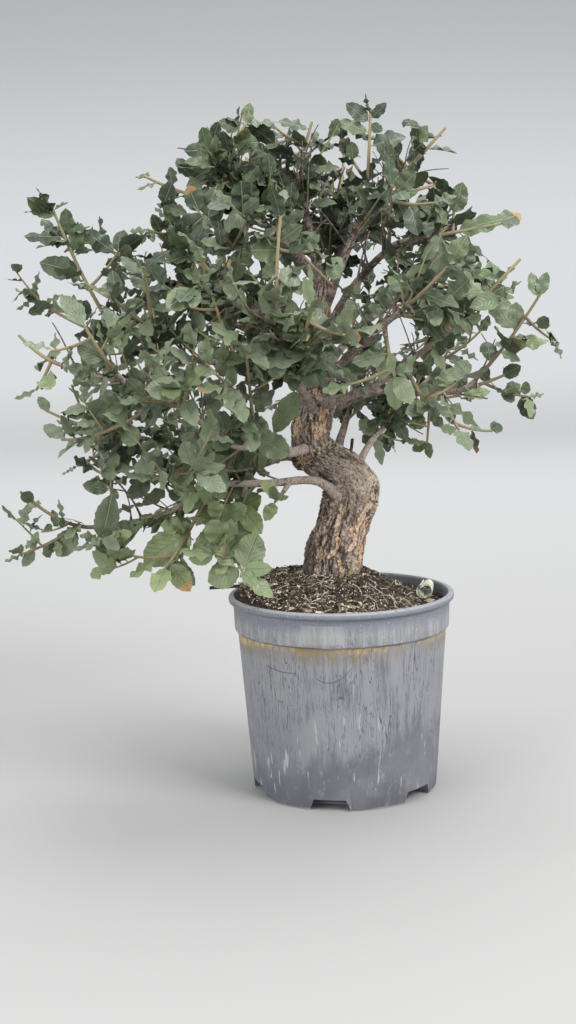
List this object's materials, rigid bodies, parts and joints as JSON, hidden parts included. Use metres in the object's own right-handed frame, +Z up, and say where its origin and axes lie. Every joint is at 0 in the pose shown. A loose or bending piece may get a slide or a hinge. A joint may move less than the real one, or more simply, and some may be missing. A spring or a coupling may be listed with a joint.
{
  "type": "potted cork oak bonsai",
  "caption": "Small cork oak trained as a bonsai, with a bent cork-barked trunk and a spreading crown of toothed leaves, in a tapered grey nursery pot.",
  "frame": {"origin": "centre of the pot's flat foot, on the surface that it stands on", "axes": "+Z up, +X to the right and -Y towards the viewer of the picture, so the trunk bends to the left half way up"},
  "size_m": [0.4828, 0.3785, 0.6074],
  "materials": {
    "pot_plastic": "weathered grey nursery plastic, streaked and rust stained under the collar",
    "potting_mix": "dark crumbly mix with pale bark and straw chips",
    "bark": "grey cork bark with orange-tan fissures, smooth grey on the limbs",
    "foliage": "matt grey-green leaves with paler veins and undersides",
    "stick_plastic": "flat black",
    "dry_leaf": "pale grey-green rolled dead leaf"
  },
  "bodies": {
    "root": {"pot": "pot_plastic", "soil": "potting_mix", "stick": "stick_plastic", "curled_leaf": "dry_leaf", "trunk_and_limbs": "bark", "spray_left_crest": "foliage", "spray_left_wing": "foliage", "spray_left_rise": "foliage", "spray_left_inner": "foliage", "spray_far_left": "foliage", "spray_left_back_rise": "foliage", "spray_left_back_drop": "foliage", "spray_front_left_tip": "foliage", "spray_front_left_over": "foliage", "spray_front_left_low": "foliage", "spray_front_left_face": "foliage", "spray_front_left_drop": "foliage", "spray_front_centre": "foliage", "spray_mid_left_tip": "foliage", "spray_mid_left_drop": "foliage", "spray_mid_left_back": "foliage", "spray_mid_left_low": "foliage", "spray_mid_left_in": "foliage", "spray_low_left_tip": "foliage", "spray_low_left_hang": "foliage", "spray_low_cluster": "foliage", "spray_low_centre": "foliage", "spray_low_pale": "foliage", "spray_low_inner": "foliage", "spray_top_left_cut": "foliage", "spray_top_left_side": "foliage", "spray_top_left_face": "foliage", "spray_crown_face": "foliage", "spray_crown_left": "foliage", "spray_crown_front": "foliage", "spray_top_cut": "foliage", "spray_top_back": "foliage", "spray_top_peak": "foliage", "spray_top_right_cut": "foliage", "spray_top_right_back": "foliage", "spray_right_face": "foliage", "spray_right_crest": "foliage", "spray_right_front_tip": "foliage", "spray_right_front_low": "foliage", "spray_long_tip": "foliage", "spray_long_mid": "foliage", "spray_long_low": "foliage", "spray_right_rise": "foliage", "spray_right_low_cut": "foliage", "spray_right_hang": "foliage", "spray_right_back": "foliage", "spray_root_tip": "foliage", "spray_back_shoulder": "foliage", "spray_back_low": "foliage", "spray_back_left_tip": "foliage", "spray_back_left_low": "foliage", "spray_back_right_tip": "foliage", "spray_back_right_low": "foliage", "spray_back_top": "foliage", "spray_back_mid": "foliage"}
  },
  "joints": []
}
